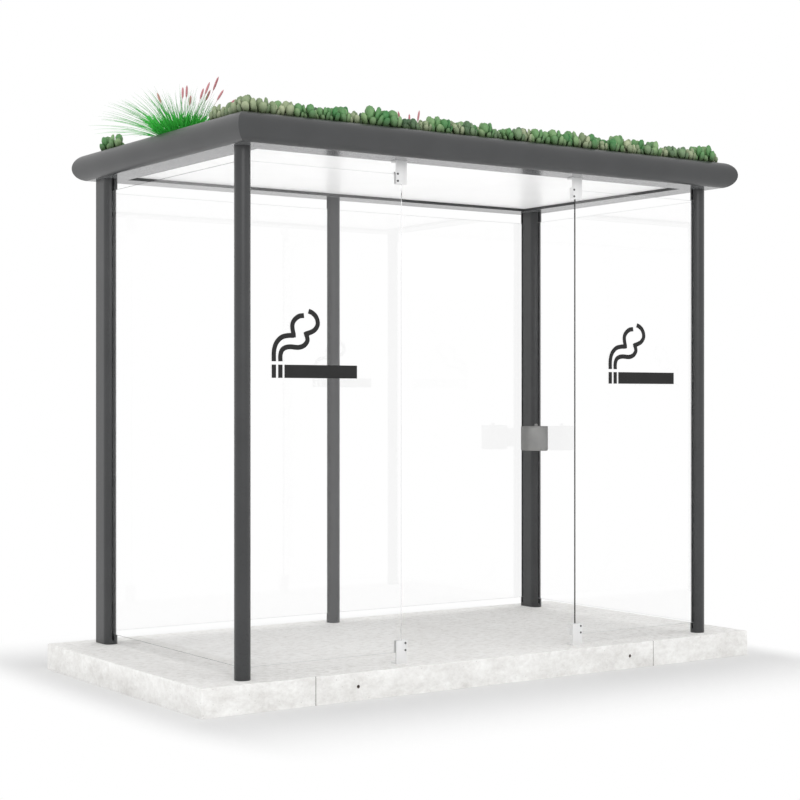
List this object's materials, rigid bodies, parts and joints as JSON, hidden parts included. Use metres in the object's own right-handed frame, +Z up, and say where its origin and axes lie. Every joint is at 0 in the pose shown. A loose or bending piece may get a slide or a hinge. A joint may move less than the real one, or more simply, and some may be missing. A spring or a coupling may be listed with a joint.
{
  "type": "smoking shelter",
  "caption": "Open-fronted glass smoking shelter with dark grey posts, a rounded roof edge, a planted roof, an ash bin and a concrete plinth.",
  "frame": {"origin": "on the plinth's underside, below the middle of the roof", "axes": "+X along the long side, +Y to the back wall, +Z up; the open entrance faces -Y"},
  "size_m": [3.28, 1.748, 2.907],
  "materials": {
    "concrete": "cast concrete, matte and mottled",
    "anthracite": "satin powder coat, dark grey",
    "silver": "mill finish, light grey",
    "clear_glass": "clear, polished edges",
    "white_panel": "glossy white",
    "black_rubber": "matte black",
    "stainless": "satin stainless steel",
    "bin_grey": "satin mid grey",
    "soil": "loose mineral growing medium",
    "leaves": "fleshy green leaves",
    "grass": "thin green blades and pink-brown spikes"
  },
  "bodies": {
    "root": {"plinth": "concrete", "post_front_left": "anthracite", "post_front_right": "anthracite", "post_back_left": "anthracite", "post_back_middle": "anthracite", "post_back_right": "anthracite", "glass_front_left": "clear_glass", "glass_front_right": "clear_glass", "glass_left": "clear_glass", "glass_right": "clear_glass", "glass_back_left": "clear_glass", "glass_back_right": "clear_glass", "setting_blocks": "black_rubber", "clamp_foot_left": "stainless", "clamp_foot_right": "stainless", "clamp_head_left": "stainless", "clamp_head_right": "stainless", "beam_front": "anthracite", "beam_back": "anthracite", "beam_left": "anthracite", "beam_right": "anthracite", "roof_edge_front": "anthracite", "roof_edge_back": "anthracite", "roof_edge_left": "anthracite", "roof_edge_right": "anthracite", "ceiling_panel": "white_panel", "ceiling_trim": "anthracite", "roof_deck": "silver", "growing_medium": "soil", "sedum_mat": "leaves", "grass_clump_left": "grass", "grass_clump_middle": "grass", "ash_bin_body": "bin_grey", "ash_bin_lid": "bin_grey", "ash_bin_bracket": "bin_grey"}
  },
  "joints": []
}
